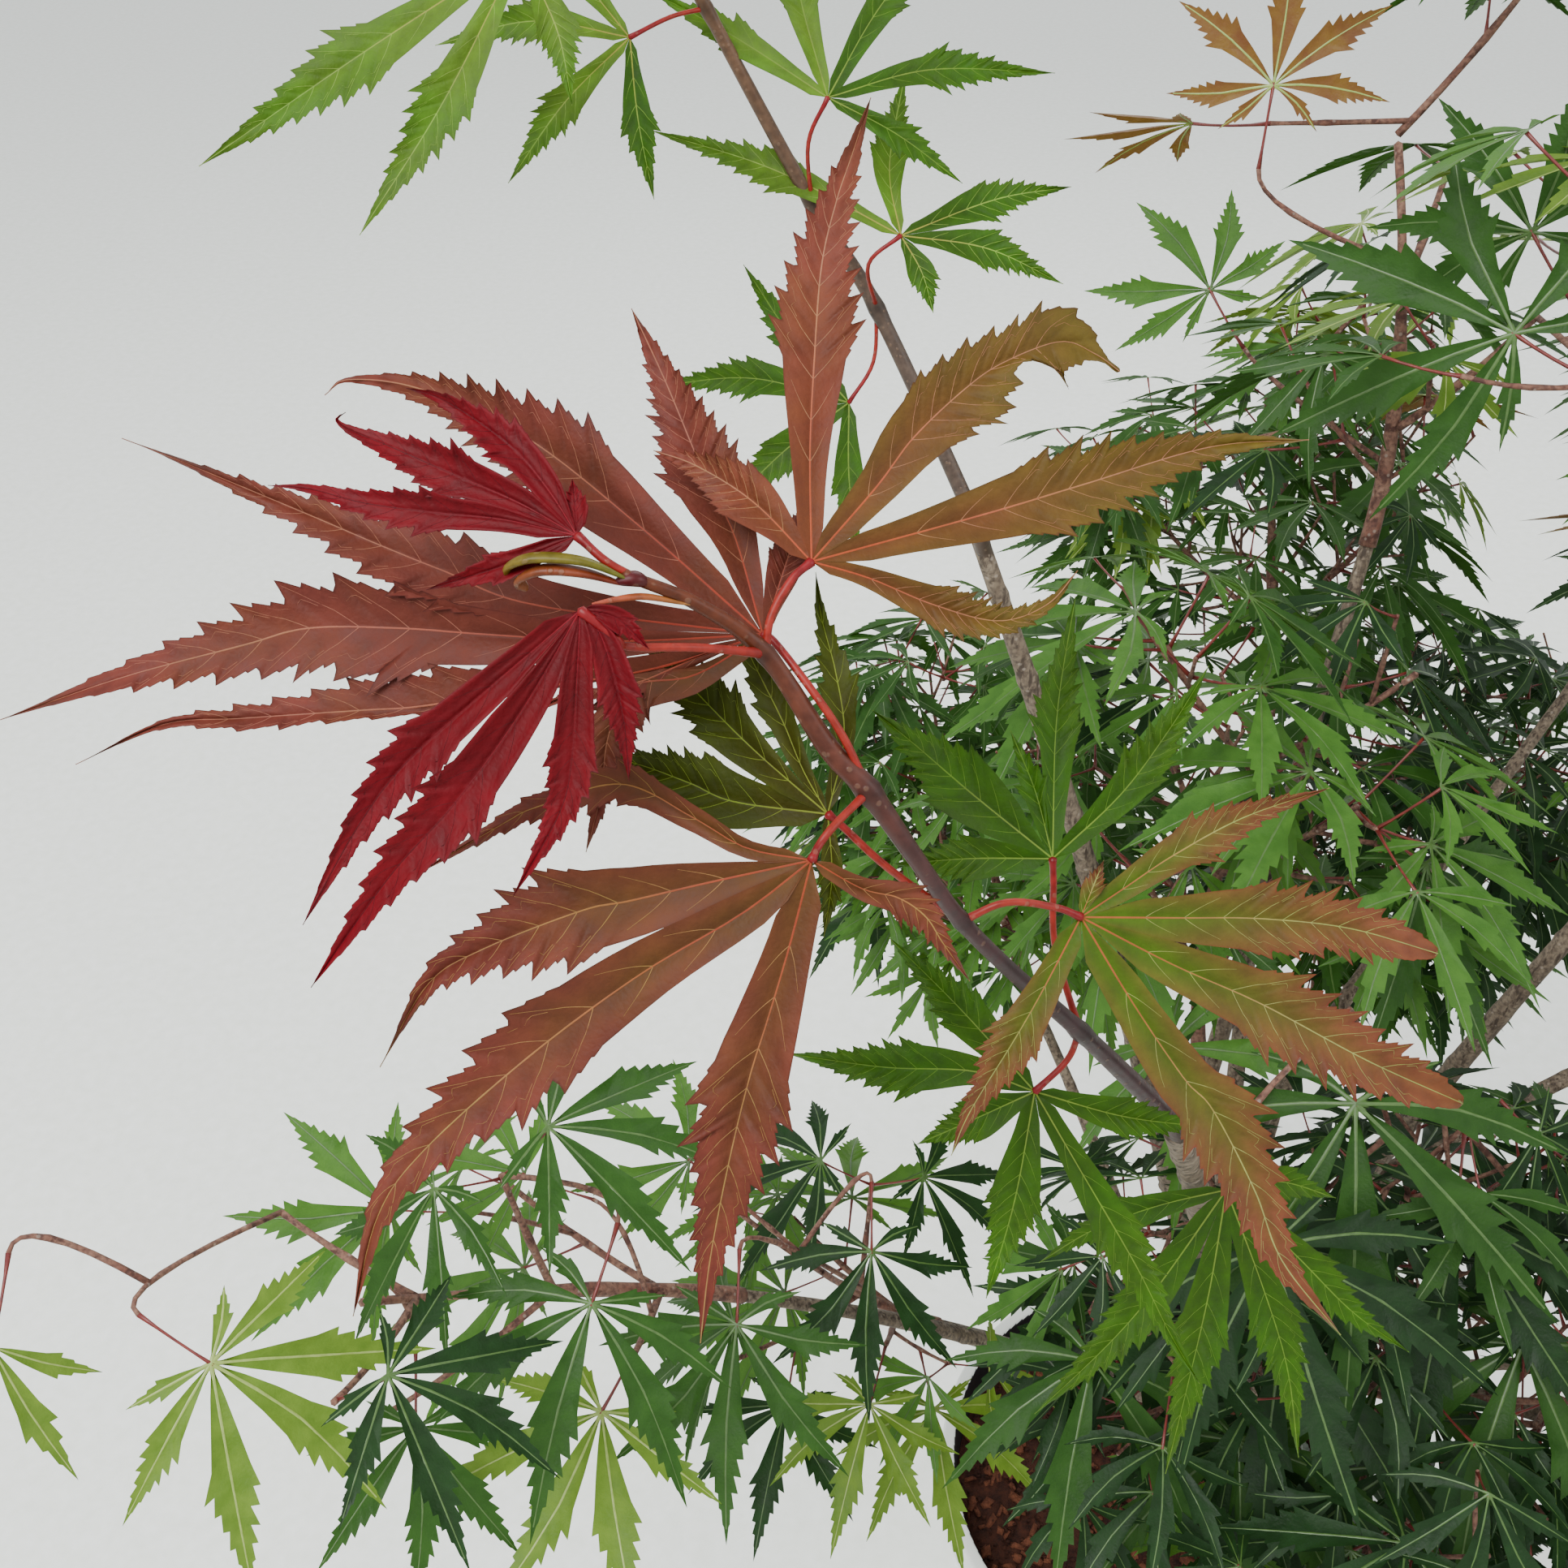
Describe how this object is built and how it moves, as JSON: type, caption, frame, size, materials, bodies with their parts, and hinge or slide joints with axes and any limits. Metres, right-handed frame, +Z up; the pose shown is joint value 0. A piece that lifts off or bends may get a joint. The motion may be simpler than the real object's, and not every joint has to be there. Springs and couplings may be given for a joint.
{
  "type": "potted japanese maple",
  "caption": "Young palmate-leaved garden maple on a forked trunk in a round nursery pot, with bronze new leaves on its front shoot.",
  "frame": {"origin": "centre of the pot's flat underside", "axes": "+Z up along the pot's axis; -Y towards the front, which the picture's camera looks from; +X to the right of that view"},
  "size_m": [0.8915, 0.7508, 1.0649],
  "materials": {
    "pot_shell": "satin",
    "potting_mix": "matte",
    "bark": "matte",
    "leaf_green": "satin",
    "leaf_young": "satin",
    "leaf_bronze": "satin"
  },
  "bodies": {
    "root": {"pot": "pot_shell", "soil": "potting_mix", "trunk": "bark", "bough_front": "bark", "bough_left_top": "bark", "bough_right_top": "bark", "bough_back": "bark", "bough_left": "bark", "bough_right_low": "bark", "bough_top": "bark", "bough_right": "bark", "bough_front_right": "bark", "bough_front_low": "bark", "bough_middle": "bark", "bough_back_right": "bark", "bough_back_low": "bark", "bough_centre": "bark", "bough_back_left": "bark", "bough_left_low": "bark", "foliage_front_shoot": "leaf_bronze", "foliage_left_top": "leaf_young", "foliage_right_top": "leaf_green", "foliage_top": "leaf_green", "foliage_right": "leaf_green", "foliage_right_low": "leaf_green", "foliage_front_right": "leaf_green", "foliage_front_low": "leaf_green", "foliage_middle": "leaf_green", "foliage_back": "leaf_green", "foliage_back_right": "leaf_green", "foliage_back_low": "leaf_green", "foliage_centre": "leaf_green", "foliage_back_left": "leaf_green", "foliage_left_low": "leaf_green", "foliage_left": "leaf_green"}
  },
  "joints": []
}
